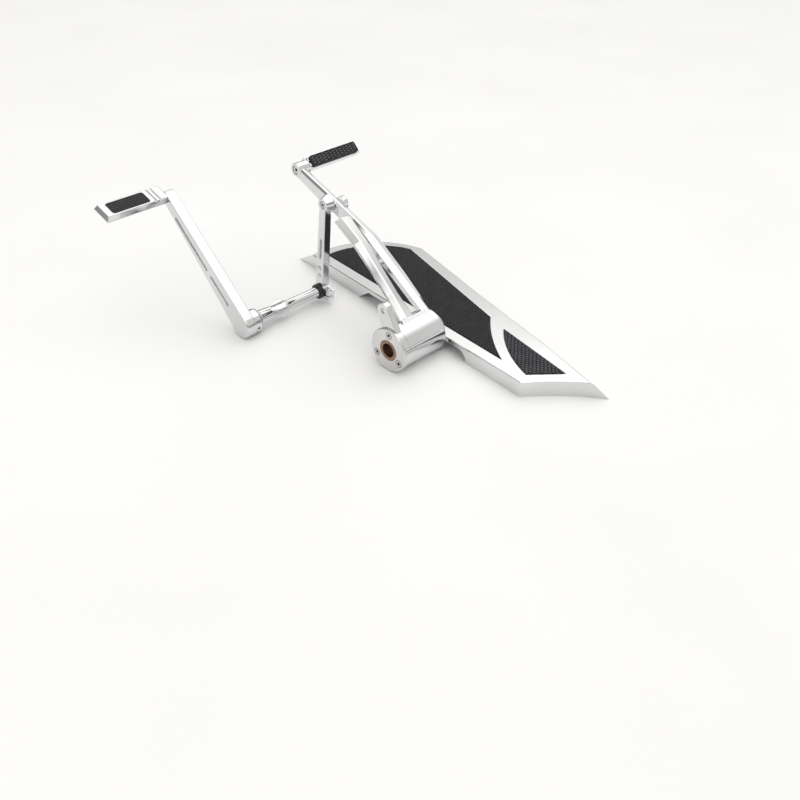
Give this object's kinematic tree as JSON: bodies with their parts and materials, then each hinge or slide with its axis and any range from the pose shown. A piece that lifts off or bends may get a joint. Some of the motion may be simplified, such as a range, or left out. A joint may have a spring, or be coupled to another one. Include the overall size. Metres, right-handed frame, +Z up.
{
  "type": "motorcycle forward controls",
  "caption": "Chromed forward foot controls: a hub-pivoted brake pedal on a tapered swallow-tail floorboard and a toe-operated shift lever on its cross shaft.",
  "frame": {"origin": "middle of the set's footprint, on the surface that the floorboard's rim rests on", "axes": "+X to the machine's right along the pivot axes, +Y forwards, +Z up"},
  "size_m": [0.417, 0.5604, 0.1813],
  "materials": {
    "polished_chrome": "polished chrome plate",
    "satin_chrome": "satin chrome plate",
    "black_rubber": "matte ribbed rubber",
    "bronze": "plain sintered bronze",
    "steel": "ground steel",
    "black_seal": "black seal rubber",
    "black_screw": "zinc plated socket screw"
  },
  "bodies": {
    "board": {"floorboard_deck": "polished_chrome", "main_pad": "black_rubber", "rear_pad": "black_rubber", "pivot_bracket": "satin_chrome", "pivot_shaft": "steel", "pivot_snap_ring": "steel", "pivot_washer": "steel", "bracket_bolt_1": "black_screw", "bracket_bolt_2": "black_screw", "support_insert_rear": "steel", "support_insert_front": "steel", "shift_bearing_tube": "polished_chrome", "tube_bush_left": "bronze", "tube_bush_right": "bronze"},
    "brake_pedal": {"brake_pedal_arm": "polished_chrome", "hub_face_plate": "satin_chrome", "face_screw_1": "black_screw", "face_screw_2": "black_screw", "face_screw_3": "black_screw", "pivot_bush_left": "bronze", "pivot_bush_right": "bronze", "brake_pad_base": "polished_chrome", "brake_pad_rubber": "black_rubber", "brake_pad_bolt": "black_screw"},
    "shift_control": {"toe_shift_arm": "polished_chrome", "collar_o_ring": "black_seal", "scalloped_collar": "polished_chrome", "shift_shaft": "steel", "shaft_seal": "black_seal", "toe_peg": "polished_chrome", "toe_peg_rubber": "black_rubber", "toe_peg_bolt": "black_screw", "inner_shift_arm": "polished_chrome", "shift_rod_bolt": "steel", "inner_arm_pinch_bolt": "black_screw"}
  },
  "joints": [
    {"name": "brake_pivot", "type": "hinge", "parent": "board", "child": "brake_pedal", "pos_m": [-0.04297, -0.0564, 0.0285], "axis": [-1, 0, 0], "range_deg": [0, 12]},
    {"name": "shift_pivot", "type": "hinge", "parent": "board", "child": "shift_control", "pos_m": [-0.04297, 0.1291, 0.0168], "axis": [-1, 0, 0], "range_deg": [-6, 6]}
  ]
}
